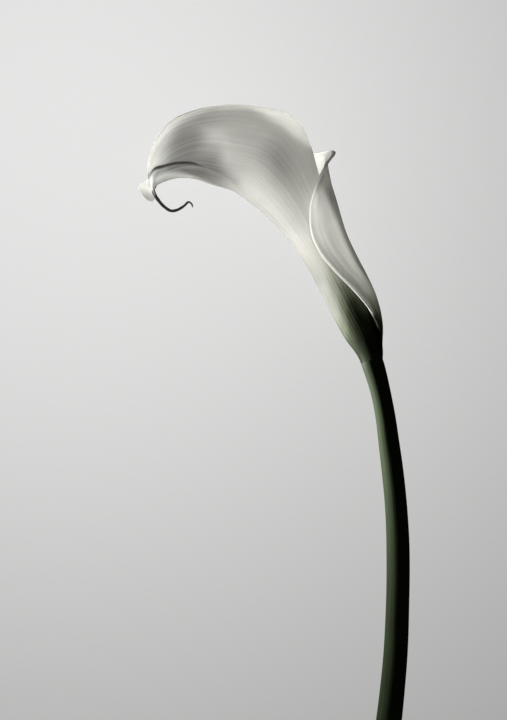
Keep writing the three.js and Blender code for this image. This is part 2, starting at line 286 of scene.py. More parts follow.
# The painted shade of the hood above the crease: station, how dark, where it starts to fade and where it
# ends.
HOOD_SHADE = [
    (0.66, 0, 0, 8),
    (0.7, 0.16, 0, 12),
    (0.735, 0.28, 0, 12),
    (0.77, 0.56, 1, 14),
    (0.8, 0.68, 1, 20),
    (0.84, 0.58, 3, 22),
    (0.88, 0.54, 6, 34),
    (0.91, 0.5, 8, 26),
    (0.935, 0.38, 3, 16),
    (0.955, 0.18, 0, 7),
    (0.97, 0, 0, 5),
]
# The painted shade of the strip below the crease: station, how dark, where it begins and where it is full.
STRIP_SHADE = [
    (0.71, 0, -14, -9),
    (0.77, 0.48, -16, -11),
    (0.8, 0.62, -17, -11),
    (0.84, 0.7, -15, -9),
    (0.88, 0.8, -13, -5),
    (0.91, 0.8, -10, -4),
    (0.935, 0.68, -8, -3),
    (0.955, 0.72, -8, -3),
    (0.97, 0.5, -8, -3),
    (0.985, 0, -8, -3),
]
# How far round the painted shade of the flap's flank reaches: station, angle in degrees.
FLANK_EDGE = [
    (0, 214), (0.2, 217), (0.25, 223), (0.35, 224), (0.4, 226), (0.43, 228),
    (0.46, 230), (0.48, 231), (0.5, 235), (0.51, 241), (0.52, 262), (1, 262),
]
# Slow swells and dents of the hood: height, station, width.
SWELLS = [(1.4, 0.7, 0.07), (-1.6, 0.845, 0.04), (1.0, 0.925, 0.035)]
LIP_HEIGHT, LIP_WIDTH = 0.8, 4.5  # the hood's lifted margin
FLAP_GAP = 1.7  # between the flap and the wing that it laps over
FLAP_SHOULDER = 2.0  # fills out the flap's flat face
FLARE_HEIGHT, FLARE_WIDTH = 2.0, 6.0  # the flap's turned-out margin
CORNER_STATION = 0.545  # the flap's top corner
CURL_HEIGHT, CURL_REACH, CURL_WIDTH = 0.6, 0.02, 5.0  # how it curls over
CORNER_PULL, PULL_REACH, PULL_WIDTH = (2.7, -0.3, 1.5), 0.012, 4.0  # and is drawn out to a finger
print("spathe laid out with", len(MIDRIB), "sections")

# %% [markdown]
# An ellipse alone is too even. The upper wing gets its fold, slow swells and a dent, and a margin that
# lifts a little. The lower wing stands off where it laps over the upper one, is filled out to the flap's
# flat face, turns out along the flap's margin and curls over at its top corner.


# %% How far each wing stands off its ellipse
def upper_relief(station, spread, angle, wrap, height, mean):
    """The fold, the slow swells and the lifted margin of the hood."""
    fold_height, overhang = np.moveaxis(along(FOLD, station), -1, 0)
    fold_angle = np.arccos(np.clip(1 - fold_height / np.maximum(height, LEAST_HEIGHT), -1, 1))
    past_fold = (angle - fold_angle) * mean
    hood = np.maximum((wrap - fold_angle) * mean, 0.5)
    bulge = ease(FOLD_START, FOLD_END, past_fold) * (1 - ease(0.25, 1, past_fold / hood))
    body = ease(0.25, 0.6, spread)
    swells = sum(swell * bump(centre, width, station) for swell, centre, width in SWELLS)
    lip = LIP_HEIGHT * ease(-LIP_WIDTH, 0, (angle - wrap) * mean) * ease(0.55, 0.7, station)
    return np.maximum(overhang, 0) * bulge + swells * body + lip


def lower_relief(station, angle, wrap, mean):
    """The overlap, the flap's flat face, its turned-out margin and its curled corner."""
    from_margin = (angle - wrap) * mean
    closed = 1 - ease(0.56, 0.66, station)
    grown = ease(-0.045, 0, station) * (0.8 + 0.2 * ease(0, 0.12, station))
    overlap = ease(math.radians(100), math.radians(190), angle) * closed * grown
    flared = ease(-FLARE_WIDTH, 0, from_margin) * window(0.03, 0.2, 0.6, 0.7, station)
    curl = bump(CORNER_STATION, CURL_REACH, station) * ease(-CURL_WIDTH, 0, from_margin)
    shoulder = bump(math.radians(225), math.radians(30), angle) * window(0.06, 0.2, 0.46, 0.54, station)
    return FLAP_GAP * overlap + FLARE_HEIGHT * flared + CURL_HEIGHT * curl + FLAP_SHOULDER * shoulder


print("the hood has", len(SWELLS), "swells and dents")

# %% [markdown]
# One function turns two numbers into a place: the station along the leaf and the spread across it. It walks
# round the ellipse, steps off it by the relief and leans the result.


# %% A point of the spathe's outer face
def spathe_point(station, spread):
    """Spread runs from -1 at the lower wing's margin over 0 at the midrib to 1 at the upper wing's."""
    upper = spread >= 0
    sizes = np.where(upper[..., None], along(UPPER_WING, station), along(LOWER_WING, station))
    lean, height, depth, wrap = np.moveaxis(sizes, -1, 0)
    lean, wrap = np.radians(lean), np.radians(wrap)
    mean = (height + depth) / 2
    part = np.abs(spread)
    angle = wrap * part
    relief = np.where(
        upper,
        upper_relief(station, part, angle, wrap, height, mean),
        lower_relief(station, angle, wrap, mean),
    )
    relief = relief * ease(0, 0.2, part)
    out = unit(np.stack([-depth * np.cos(angle), height * np.sin(angle)], -1))
    above = height * (1 - np.cos(angle)) + relief * out[..., 0]
    aside = depth * np.sin(angle) + relief * out[..., 1]
    midrib = along(MIDRIB, station)
    x = midrib[..., 0] + above * np.cos(lean)
    y = midrib[..., 1] + above * np.sin(lean)
    z = midrib[..., 2] + np.where(upper, aside, -aside)
    point = np.stack([x, y, z], -1)
    pulled = bump(CORNER_STATION, PULL_REACH, station) * ease(-PULL_WIDTH, 0, (angle - wrap) * mean)
    return above_board(point + (pulled * ~upper)[..., None] * np.array(CORNER_PULL))


corner = spathe_point(np.array([CORNER_STATION]), np.array([-1.0]))[0]
print("the flap's corner is at", corner.round(1), "mm from the neck")

# %% [markdown]
# The rows of the mesh run closer where the form turns quickly: at the flap's corner and at the tip. The
# veins are real relief: some thirty faint ribs that run from neck to tip and stand a few hundredths of a
# millimetre proud, enough for low light to catch.

# %% The outer face
# From station, to station, rows.
ROW_GROUPS = [(-0.045, 0, 8), (0, 0.42, 52), (0.42, 0.62, 52), (0.62, 0.9, 44), (0.9, 1, 48)]
LOWER_COLUMNS, UPPER_COLUMNS = 105, 116
VEINS, VEIN_HEIGHT = 34, 0.035

stations = np.concatenate([np.linspace(a, b, n, endpoint=False) for a, b, n in ROW_GROUPS] + [[1.0]])
lower_spreads, upper_spreads = np.linspace(-1, 0, LOWER_COLUMNS + 1), np.linspace(0, 1, UPPER_COLUMNS + 1)
spreads = np.concatenate([lower_spreads, upper_spreads[1:]])
station_grid, spread_grid = np.meshgrid(stations, spreads, indexing="ij")
outer = spathe_point(station_grid, spread_grid)
normals = unit(np.cross(np.gradient(outer, axis=1), np.gradient(outer, axis=0)))
vein = np.cos(spread_grid * VEINS * math.pi + 1.4 * np.sin(station_grid * 9))
vein_room = window(0.02, 0.12, 0.9, 0.98, station_grid)
outer = above_board(outer + normals * (VEIN_HEIGHT * vein * vein_room)[..., None])
print("outer face", outer.shape[:2], "lowest point", outer[..., 2].min().round(2))

# %% [markdown]
# A petal's margin isn't a cut edge: it rolls outwards into a thin bead that catches the light. The bead is
# the sheet carried on round a small circle. How far it rolls differs along each wing, and along the flap
# the bead is fatter, which gives the white line down its edge.

# %% Thickness and the rolled margins
SHEET, EDGE_SHEET = 0.85, 0.45
ROLL_RADIUS, FLAP_ROLL_EXTRA = 0.32, 0.2
ROLL_STEPS = 7


def thickness_at(station, spread):
    """The sheet is thinner at its margins, at the tip and where it runs out on the stem."""
    margin = ease(0.8, 1, np.abs(spread))
    ends = (0.25 + 0.75 * ease(-0.045, 0.0, station)) * (1 - 0.7 * ease(0.93, 1, station))
    return (SHEET + (EDGE_SHEET - SHEET) * margin) * ends


def rolled(edge, normal, inner, turn, radius):
    """Carries the sheet's edge round a bead: points and normals step by step, and the last heading."""
    away = edge - inner
    away = unit(away - normal * np.sum(away * normal, -1, keepdims=True))
    points, bead_normals, headings = [], [], []
    for step in range(1, ROLL_STEPS + 1):
        angle = (turn * step / ROLL_STEPS)[:, None]
        points.append(edge + radius[:, None] * (np.sin(angle) * away + (1 - np.cos(angle)) * normal))
        bead_normals.append(np.cos(angle) * normal - np.sin(angle) * away)
        headings.append(np.cos(angle) * away + np.sin(angle) * normal)
    return np.stack(points, 1), np.stack(bead_normals, 1), headings[-1]


upper_turn = np.radians(35 + 125 * window(0.78, 0.93, 0.975, 1, stations))
lower_turn = np.radians(40 + 130 * window(0.03, 0.1, 0.52, 0.54, stations))
upper_radius = np.full_like(stations, ROLL_RADIUS)
lower_radius = ROLL_RADIUS + FLAP_ROLL_EXTRA * window(0.03, 0.12, 0.38, 0.46, stations)
lower_bead, lower_normals, lower_heading = rolled(
    outer[:, 0], normals[:, 0], outer[:, 1], lower_turn, lower_radius
)
upper_bead, upper_normals, upper_heading = rolled(
    outer[:, -1], normals[:, -1], outer[:, -2], upper_turn, upper_radius
)
print("beads roll up to", round(math.degrees(lower_turn.max())), "degrees")

# %% [markdown]
# The inner face is the outer one moved in by the sheet's thickness. Each row of the mesh is then one closed
# loop: outer face, rounded edge, inner face, rounded edge. Loops joined in order make one watertight skin,
# so light can pass through it as it does through a petal.


# %% The closed skin of the spathe
CAP_STEPS = 3


def rounded_edge(outer_end, inner_end, heading):
    """Half a circle of points from the outer end of the sheet to the inner one."""
    centre = (outer_end + inner_end) / 2
    radius = (outer_end - inner_end) / 2
    reach = heading * np.linalg.norm(radius, axis=-1, keepdims=True)
    turns = np.linspace(0, math.pi, CAP_STEPS + 2)[1:-1]
    return np.stack([centre + radius * math.cos(a) + reach * math.sin(a) for a in turns], 1)


face = np.concatenate([lower_bead[:, ::-1], outer, upper_bead], 1)
face_normals = np.concatenate([lower_normals[:, ::-1], normals, upper_normals], 1)
face_spread = np.concatenate([np.full(ROLL_STEPS, -1.0), spreads, np.full(ROLL_STEPS, 1.0)])
face_station, face_spread = np.meshgrid(stations, face_spread, indexing="ij")
back = above_board(face - face_normals * thickness_at(face_station, face_spread)[..., None])
upper_cap = rounded_edge(face[:, -1], back[:, -1], upper_heading)
lower_cap = rounded_edge(back[:, 0], face[:, 0], lower_heading)
loops = np.concatenate([face, upper_cap, back[:, ::-1], lower_cap], 1)

width = face.shape[1]
columns = loops.shape[1]
cap_station = np.repeat(stations[:, None], CAP_STEPS, 1)
loop_station = np.concatenate([face_station, cap_station, face_station[:, ::-1], cap_station], 1)
cap_spread = np.ones_like(cap_station)
loop_spread = np.concatenate([face_spread, cap_spread, face_spread[:, ::-1], -cap_spread], 1)
inside = np.zeros_like(loop_station)
inside[:, width + CAP_STEPS : 2 * width + CAP_STEPS] = 1


def end_faces(first, flip):
    """Closes the thin crescent at the sheet's end between its outer and its inner face."""
    faces = []
    for c in range(width - 1):
        a, b = first + c, first + c + 1
        mate = first + 2 * width + CAP_STEPS - 1 - c
        faces.append([a, b, mate - 1, mate] if flip else [b, a, mate, mate - 1])
    upper = [first + width - 1 + k for k in range(CAP_STEPS + 2)]
    lower = [first + (2 * width + CAP_STEPS - 1 + k) % columns for k in range(CAP_STEPS + 2)]
    faces += [upper if flip else upper[::-1], lower if flip else lower[::-1]]
    return faces


skin = grid_faces(len(stations), columns, closed=True)
skin += end_faces(0, flip=True)
skin += end_faces((len(stations) - 1) * columns, flip=False)
print("the skin has", len(skin), "faces")

# %% [markdown]
# The leaf is painted darker where shade falls: at the flap's foot, round its flank and at the hood's fold.
# This painted shade is grey-green, in soft patches, and the mesh carries the darkest at each point. Four
# measures say
# where a patch lies: how far along the leaf, how far beyond the fold, how far round the lower wing, and how
# far in from its rim.


# %% Places on the leaf
def read_table(table):
    """The columns of a table, read at the station of every point."""
    return np.moveaxis(along(table, loop_station), -1, 0)


fold_height, _ = read_table(FOLD)
_, hood_height, _, hood_wrap = read_table(UPPER_WING)
_, flap_height, _, flap_wrap = read_table(LOWER_WING)
hood_height = np.maximum(hood_height, LEAST_HEIGHT)
fold_angle = np.arccos(np.clip(1 - fold_height / hood_height, -1, 1))
beyond_fold = (np.radians(hood_wrap) * loop_spread - fold_angle) * hood_height
flap_angle = np.abs(loop_spread) * flap_wrap
from_rim = (1 + loop_spread) * np.radians(flap_wrap) * flap_height
on_hood, on_flap = loop_spread > 0, loop_spread < 0
on_sheet = loop_spread > -0.995  # all but the bead along the flap's rim
print("the hood reaches", beyond_fold.max().round(), "mm beyond the fold")

# %% [markdown]
# Shade is painted into the hood: darkest in the crease under its fold, with a fainter painted line beside
# it.
# The strip below the fold and the hood above it get painted shade, and softer patches of painted shade lie
# in the hood's valley, beside the tip and on the belly. Along the tip's midrib the leaf is thick, so less
# light comes through.

# %% Painted shade of the crease and the hood
# How dark the painted shade is: the fainter line beside the crease, the hood's valley, beside the tip, the
# belly.
ECHO_DARK = 0.5
VALLEY_DARK, TIP_DARK, BELLY_DARK = 0.28, 0.27, 0.18

crease_dark, crease_start, crease_end = read_table(CREASE)
crease = window(crease_start - 0.4, crease_start + 0.4, crease_end - 0.5, crease_end + 0.5, beyond_fold)
crease = np.maximum(crease, ECHO_DARK * bump(crease_start - 1.4, 0.3, beyond_fold))
crease *= np.maximum(crease_dark, 0) * on_hood
strip_dark, strip_start, strip_full = read_table(STRIP_SHADE)
strip = window(strip_start, np.maximum(strip_full, strip_start + 1), -0.5, 0.5, beyond_fold)
hood_shade_dark, fade_start, fade_end = read_table(HOOD_SHADE)
above_fold = window(-0.5, 0.5, fade_start, np.maximum(fade_end, fade_start + 1), beyond_fold)
hood_shade = np.maximum(strip * np.maximum(strip_dark, 0), above_fold * np.maximum(hood_shade_dark, 0))
hood_shade *= (1 - ease(0.966, 0.984, loop_station)) * on_hood
valley = bump(0.65, 0.085, loop_station) * bump(0.64, 0.16, loop_spread)
beside_tip = bump(0.885, 0.065, loop_station) * ease(0.62, 0.84, loop_spread)
belly = bump(0.3, 0.08, loop_station) * (1 - ease(0.2, 0.5, np.abs(loop_spread)))
dense = ease(0.8, 0.92, loop_station) * (1 - ease(-2, 0, beyond_fold)) * on_hood
print("the crease takes", (crease > 0.5).mean().round(3), "of the points")

# %% [markdown]
# Shade is painted into the lower wing on the flank that turns away behind the flap, less just below the
# flap's corner. Fainter patches of painted shade lie on the flap's flat face and inside its rim. The hook at
# the corner and the flap's foot get dark painted shade along the rim, and the lobe that the tail grows from
# is painted grey with shade.

# %% Painted shade of the lower wing
# How dark the painted shade is in each patch.
FLANK_DARK, FLANK_PALER = 0.72, 0.55
FACE_DARK, RIM_DARK = 0.24, 0.26
HOOK_DARK, FOOT_DARK = 0.8, 0.95
LOBE_DARK, BESIDE_LOBE_DARK = 0.4, 0.05

(flank_edge,) = read_table(FLANK_EDGE)
flank = window(150, 180, flank_edge - 7, flank_edge + 7, flap_angle) * on_flap
flank *= window(0.1, 0.25, 0.545, 0.6, loop_station)
flank *= 1 - FLANK_PALER * bump(0.505, 0.022, loop_station)
flank *= 1 - ease(0.52, 0.53, loop_station) * ease(1.0, 1.9, from_rim)
flank *= on_sheet | (loop_station > 0.522)
flap_face = ease(232, 246, flap_angle) * window(0.12, 0.25, 0.41, 0.5, loop_station) * on_flap * on_sheet
rim = window(0, 0.6, 1, 6, from_rim) * window(0.1, 0.2, 0.3, 0.4, loop_station)
hook = window(0.526, 0.534, 0.553, 0.559, loop_station) * (1 - ease(1.3, 1.9, from_rim)) * on_flap
foot = (1 - ease(0.095, 0.122, loop_station)) * (1 - ease(1.0, 2.0, from_rim)) * on_flap
lobe = ease(0.986, 0.997, loop_station) * ease(0.1, 0.3, -loop_spread)
beside_lobe = ease(0.97, 0.98, loop_station) * on_flap
# All patches of painted shade; the mesh keeps the darkest at each point.
shade_patches = [
    hood_shade,
    VALLEY_DARK * valley + TIP_DARK * beside_tip,
    BELLY_DARK * belly,
    np.maximum(FLANK_DARK * flank, FACE_DARK * flap_face + RIM_DARK * rim) * (1 - inside),
    HOOK_DARK * hook,
    FOOT_DARK * foot,
    LOBE_DARK * lobe + BESIDE_LOBE_DARK * beside_lobe,
]
shade = np.maximum.reduce(shade_patches)
print(len(shade_patches), "flushes, the darkest", shade.max().round(2))

# %% [markdown]
# The whole skin is one mesh, the spathe's blade. Its points carry six numbers for the petal's finish; crease
# and shade are painted shade.

# %% The spathe's blade
leaf_numbers = {"station": loop_station, "spread": loop_spread, "inside": inside}
# The crease and shade numbers are painted shade; dense says where the leaf is thick and lets less light
# through.
shade_and_density = {"crease": crease, "shade": shade, "dense": dense}
spathe = mesh_piece("spathe_blade", loops, skin, **leaf_numbers, **shade_and_density)
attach(spathe, "root")
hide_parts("spathe")

# %% [markdown]
# ## Round pieces
# The tail, the stem and the spadix are all round and bent. Each is a row of rings along a curve, and a ring
# is laid square across the curve. Relief is added to the radius.


# %% Rings along a curve
def smooth_curve(points, origin=0):
    """A curve through points: a function from distances to places, and the last distance."""
    points = np.array(points, float)
    chords = np.concatenate([[0], np.cumsum(np.linalg.norm(np.diff(points, axis=0), axis=1))])
    table = np.column_stack([chords, points])
    fine = np.linspace(0, chords[-1], 2000)
    places = along(table, fine)
    lengths = np.concatenate([[0], np.cumsum(np.linalg.norm(np.diff(places, axis=0), axis=1))])
    start = np.interp(chords[origin], fine, lengths)

    def at(distance):
        return np.stack([np.interp(distance + start, lengths, places[:, i]) for i in range(3)], -1)

    return at, lengths[-1] - start


def ring_frames(at, distances):
    """Centres of the rings and their two directions across the curve."""
    centre = at(distances)
    tangent = unit(at(distances + 0.5) - at(distances - 0.5))
    across = unit(np.stack([tangent[:, 1], -tangent[:, 0], np.zeros(len(tangent))], 1))
    return centre, across, np.cross(across, tangent)


def ring_points(at, distances, radii, sides):
    """Points of rings whose radii are given for each ring and side."""
    centre, across, up = ring_frames(at, distances)
    angle = np.arange(sides) * 2 * math.pi / sides
    turned = across[:, None] * np.sin(angle)[:, None] + up[:, None] * np.cos(angle)[:, None]
    return above_board(centre[:, None] + radii[..., None] * turned)


def tube_faces(rings, sides):
    """Faces of a tube with both ends closed by a single round face."""
    faces = grid_faces(rings, sides, closed=True)
    faces.append(list(range(sides))[::-1])
    faces.append([(rings - 1) * sides + side for side in range(sides)])
    return faces


print("rings are ready")

# %% [markdown]
# ## The tail
# The spathe's tip runs out into a thread. On a cut flower it dries first: it turns nearly black and curls.
# It is modelled as a tapering tube with shallow flutes, sunk a little into the tip that it grows from.

# %% Tail
# x, y, z, radius.
TAIL = [
    (-107.0, 83.4, 26.0, 0.5),
    (-108.3, 81.2, 25.3, 0.8),
    (-107.4, 78.3, 24.8, 0.85),
    (-105.7, 75.8, 23.8, 0.8),
    (-103.2, 73.1, 22.3, 0.78),
    (-99.3, 70.9, 20.8, 0.75),
    (-96.2, 71.5, 20.3, 0.72),
    (-93.0, 73.4, 20.8, 0.66),
    (-90.6, 75.2, 21.8, 0.6),
    (-89.3, 74.3, 22.4, 0.5),
    (-88.6, 72.4, 22.8, 0.3),
]
TAIL_RINGS, TAIL_SIDES = 120, 20
TAIL_FLUTES = 5

tail_at, tail_length = smooth_curve([row[:3] for row in TAIL])
tail_way = np.linspace(0, tail_length, TAIL_RINGS)
tail_table = [(i * tail_length / (len(TAIL) - 1), row[3]) for i, row in enumerate(TAIL)]
tail_radius = along(tail_table, tail_way)[:, 0] * np.sqrt(1 - 0.9 * ease(0.97, 1, tail_way / tail_length))
tail_angle = np.arange(TAIL_SIDES) * 2 * math.pi / TAIL_SIDES
tail_relief = 1 + 0.07 * np.cos(TAIL_FLUTES * tail_angle + tail_way[:, None] * 0.25)
tail_relief = tail_relief * (1 + 0.05 * np.sin(tail_way * 1.7))[:, None]
tail_points = ring_points(tail_at, tail_way, tail_radius[:, None] * tail_relief, TAIL_SIDES)
tail_share = np.repeat((tail_way / tail_length)[:, None], TAIL_SIDES, 1)
tail = mesh_piece("spathe_tail", tail_points, tube_faces(TAIL_RINGS, TAIL_SIDES), share=tail_share)
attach(tail, "root")
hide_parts("spathe")
print("tail", round(tail_length, 1), "mm long")

# %% [markdown]
# ## The stem
# The stem is a fleshy round stalk, as thick as a finger. It swells slowly and carries faint lines along it.

# %% Stem curve and girth
# x, y, z.
STEM_AXIS = [
    (8.3, -202, 6.45),
    (10.6, -185, 6.35),
    (12.3, -170, 6.2),
    (13.9, -152, 5.95),
    (14.8, -130, 5.85),
    (15.1, -110, 5.75),
    (14.8, -92, 5.65),
    (13.8, -75, 5.5),
    (12.3, -60, 5.45),
    (10.5, -46, 6.3),
    (8.5, -32, 8.9),
    (6.1, -20.5, 11.4),
    (3.2, -10, 13.8),
    (0.1, -0.6, 15.8),
    (-3.4, 9.9, 16.8),
    (-7.7, 21.0, 18.0),
    (-12.6, 31.2, 19.3),
    (-18.1, 41.5, 20.8),
    (-23.6, 52.4, 22.3),
    (-29.5, 65.2, 23.8),
]
NECK_POINT = 13  # row of the axis at the neck
# Distance from the neck, radius.
STEM_RADIUS = [
    (-204.4, 6.6), (-172, 6.35), (-154, 6.1), (-112, 5.9), (-77, 5.65), (-48, 5.3), (-33, 5.1),
    (-21, 5.05), (-12, 5.34), (-5.5, 5.6), (-3, 5.45), (-1, 4.7), (1, 3.5), (4, 3.3),
]
STEM_END, STEM_TOP = -204.4, 4
STEM_RINGS, STEM_SIDES = 300, 96
# Height, how many round the stem, start and twist.
STEM_RIDGES = [(0.012, 17, 0, 0.004), (0.008, 31, 1.3, -0.006)]
stem_at, _ = smooth_curve(STEM_AXIS, NECK_POINT)

stem_way = np.linspace(STEM_END, STEM_TOP, STEM_RINGS)
stem_angle = np.arange(STEM_SIDES) * 2 * math.pi / STEM_SIDES
stem_radius = along(STEM_RADIUS, stem_way)
ridges = 0
for high, count, start, twist in STEM_RIDGES:
    ridges = ridges + high * np.cos(count * stem_angle + start + twist * stem_way[:, None])
swell = 0.07 * np.sin(stem_way / 17 + 1)[:, None] * np.cos(stem_angle - 0.8)
swell = swell + 0.05 * np.sin(stem_way / 7.3)[:, None] * np.cos(2 * stem_angle + 0.5)
body_part = window(STEM_END, STEM_END + 6, -14, -7, stem_way)[:, None]
stem_side = ring_points(stem_at, stem_way, stem_radius + (ridges + swell) * body_part, STEM_SIDES)
print("stem", round(STEM_TOP - STEM_END), "mm long")

# %% [markdown]
# The stem was cut across with a knife. The cut shows pale pith inside a green skin, and the skin stands up a
# little round it because the soft pith shrinks first.

# %% Cut end of the stem
# Share of the radius, how far the face sinks into the stem.
CUT_PROFILE = [(0.0, 0.55), (0.3, 0.6), (0.6, 0.5), (0.8, 0.35), (0.9, 0.15), (0.96, -0.1), (1.0, 0.05)]
CUT_RINGS = 26

cut_share = np.linspace(0, 1, CUT_RINGS + 1)[1:-1] ** 0.8
cut_radius = cut_share[:, None] * stem_radius[0] * np.ones(STEM_SIDES)
cut_points = ring_points(stem_at, np.full(len(cut_share), STEM_END), cut_radius, STEM_SIDES)
stem_direction = stem_at(np.array([STEM_END + 1.0]))[0] - stem_at(np.array([STEM_END]))[0]
spongy = 0.07 * np.sin(9 * cut_share[:, None] * np.cos(stem_angle) * 3.1)
spongy = spongy * np.sin(9 * cut_share[:, None] * np.sin(stem_angle) * 2.7 + 1)
sink = along(CUT_PROFILE, cut_share) + spongy * (1 - ease(0.8, 0.95, cut_share))[:, None]
cut_points = above_board(cut_points + sink[..., None] * stem_direction)

stem_rows = np.concatenate([cut_points, stem_side])
on_cut = np.concatenate([cut_share, np.full(STEM_RINGS, 2.0)])
stem_far = np.concatenate([np.full(len(cut_share), STEM_END), stem_way])
stem = mesh_piece(
    "stem_stalk",
    stem_rows,
    tube_faces(len(stem_rows), STEM_SIDES),
    cut=np.repeat(on_cut[:, None], STEM_SIDES, 1),
    way=np.repeat(stem_far[:, None], STEM_SIDES, 1),
    side_x=np.tile(np.sin(stem_angle), (len(stem_rows), 1)),
    side_y=np.tile(np.cos(stem_angle), (len(stem_rows), 1)),
)
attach(stem, "root")
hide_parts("stem")

# %% [markdown]
# ## The spadix
# The finger inside the funnel is a spike of hundreds of tiny flowers, packed like a honeycomb. Only a
# viewer who looks into the mouth sees it. Each floret is a small dome, in rings that are shifted by half a
# floret from one to the next.

# %% Spadix
SPADIX_FOOT, SPADIX_LENGTH = 4.3, 66.0
SPADIX_RADIUS = [(0, 3.1), (6, 3.85), (30, 4.35), (52, 3.95), (61, 3.05), (64.5, 1.9), (66, 0.35)]
FLORETS_ROUND, FLORET_ROWS = 20, 56
FLORET_STEPS = 6
FLORET_HEIGHT, FLORET_REACH, ROW_PACKING = 0.55, 0.6, 0.87

spadix_rings = FLORET_ROWS * FLORET_STEPS
spadix_sides = FLORETS_ROUND * FLORET_STEPS
spadix_share = np.linspace(0, 1, spadix_rings)
spadix_way = SPADIX_LENGTH * spadix_share
row_place = spadix_share[:, None] * FLORET_ROWS
round_place = np.arange(spadix_sides)[None] / FLORET_STEPS
dome = np.zeros((spadix_rings, spadix_sides))
for shift in (0, 1):
    row = 2 * np.round((row_place - shift) / 2) + shift
    column = np.round(round_place - 0.5 * shift) + 0.5 * shift
    apart = np.hypot((row_place - row) * ROW_PACKING, round_place - column)
    dome = np.maximum(dome, np.sqrt(np.clip(1 - (apart / FLORET_REACH) ** 2, 0, 1)))
covered = window(0.01, 0.05, 0.95, 0.995, spadix_share)[:, None]
floret_size = 0.85 + 0.15 * np.sin(12.9 * np.round(row_place) + 4.1 * np.round(round_place))
spadix_radius = along(SPADIX_RADIUS, spadix_way) + FLORET_HEIGHT * dome * covered * floret_size
spadix_points = ring_points(stem_at, SPADIX_FOOT + spadix_way, spadix_radius, spadix_sides)
spadix = mesh_piece(
    "spadix_florets", spadix_points, tube_faces(spadix_rings, spadix_sides), dome=dome * covered
)
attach(spadix, "root")
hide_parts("spadix")

# %% [markdown]
# ## Finishes
# Petal, stem and pollen are painted by small graphs of nodes. The helpers add to the tree of nodes of the
# material that was begun last. The main one, put, adds a node, sets its options and fills its sockets with
# a number, a colour or another node's output.


# %% Helpers for materials
def new_material(name):
    """An empty material and its tree of nodes."""
    material = bpy.data.materials.new(name)
    material.use_nodes = True
    material.node_tree.nodes.clear()
    return material, material.node_tree


def put(kind, sockets=(), **options):
    """Adds a node with its options and its input sockets filled."""
    made = tree.nodes.new("ShaderNode" + kind)
    for option, value in options.items():
        setattr(made, option, value)
    for socket, value in dict(sockets).items():
        if isinstance(value, bpy.types.NodeSocket):
            tree.links.new(value, made.inputs[socket])
        else:
            made.inputs[socket].default_value = value
    return made


def number_on(label):
    """One of the mesh's named numbers."""
    return put("Attribute", attribute_name=label).outputs["Fac"]


def sums(operation, *values, clamp=False):
    """One step of arithmetic."""
    return put("Math", dict(enumerate(values)), operation=operation, use_clamp=clamp).outputs[0]


def times(first, second):
    """One number times another."""
    return sums("MULTIPLY", first, second)


def fade(value, start, end, low=0.0, high=1.0):
    """Eases from low to high while the value goes from start to end."""
    sockets = {0: value, 1: start, 2: end, 3: low, 4: high}
    return put("MapRange", sockets, interpolation_type="SMOOTHSTEP").outputs[0]


def blended(share, first, second, mode="MIX"):
    """Mixes two colours."""
    sockets = {0: share, 6: first, 7: second}
    return put("Mix", sockets, data_type="RGBA", blend_type=mode).outputs[2]


def colour_steps(value, steps):
    """A colour ramp. Its two ends come first in the list."""
    ramp = put("ValToRGB", {0: value})
    ramp.color_ramp.interpolation = "EASE"
    for index, (place, colour) in enumerate(steps):
        stop = ramp.color_ramp.elements[index] if index < 2 else ramp.color_ramp.elements.new(place)
        stop.position = place
        stop.color = (*colour, 1)
    return ramp.outputs[0]


def noise(vector, scale, detail=3.0, roughness=0.55):
    """Soft random mottling, the same in every run."""
    sockets = {"Vector": vector, "Scale": scale, "Detail": detail, "Roughness": roughness}
    return put("TexNoise", sockets).outputs[0]


def stretched(x, y, z=0.0):
    """Three numbers as one place, so that a pattern can run along the plant."""
    return put("CombineXYZ", {0: x, 1: y, 2: z}).outputs[0]


def raised(strength, distance, height):
    """Fine relief that only bends the light."""
    return put("Bump", {"Strength": strength, "Distance": distance, "Height": height}).outputs[0]


def surface(colour, roughness, gloss=0.5, **sockets):
    """A plain surface of some roughness and gloss."""
    sockets = {"Base Color": colour, "Roughness": roughness, "Specular IOR Level": gloss, **sockets}
    return put("BsdfPrincipled", sockets).outputs[0]


def finish(piece, material, shader):
    """Makes a shader the surface of a material, and gives it to its piece."""
    tree.links.new(shader, put("OutputMaterial").inputs[0])
    piece.data.materials.append(material)
    print(material.name, "is made of", len(tree.nodes), "nodes")


print("material helpers are ready")

# %% [markdown]
# The spathe is white because its cells are full of air, so light sinks in and part of it comes out on the
# other side. Fine noise gives it streaks that follow the veins, a soft mottle and a dull grain.

# %% Petal patterns
petal, tree = new_material("petal")
station = number_on("station")
spread = number_on("spread")
grown = stretched(times(spread, 46.0), times(station, 3.0), number_on("inside"))
veins = noise(grown, 1.0, 4.0, 0.6)
broad = stretched(times(spread, 11.0), times(station, 2.5))
streaks = noise(broad, 1.0, 3.0, 0.5)
place = put("TexCoord").outputs["Object"]
grain = noise(place, 1800.0, 3.0, 0.6)
mottle = noise(place, 90.0, 2.0, 0.5)
print("petal patterns", len(tree.nodes), "nodes")

# %% [markdown]
# At its base the white runs out into the green of the stem, in streaks. The green reaches further up on the
# wings than beside the midrib and is darkest there: partly the leaf's own green, partly painted shade on the
# funnel near the neck. The flap's rim is painted white almost down to the stem: partly its own pale margin,
# partly a painted highlight where the rolled rim catches the light.

# %% White and green of the petal
WHITE = (0.87, 0.865, 0.83)
# How far above the neck, and the colour there. The two ends come first.
# The darkest greens near the neck are partly painted shade.
GREEN_TO_WHITE = [
    (0.0, (0.042, 0.057, 0.027)),
    (1.0, WHITE),
    (0.05, (0.043, 0.057, 0.028)),
    (0.1, (0.09, 0.11, 0.06)),
    (0.15, (0.28, 0.31, 0.21)),
    (0.21, (0.56, 0.58, 0.48)),
    (0.3, (0.80, 0.805, 0.75)),
    (0.42, WHITE),
]

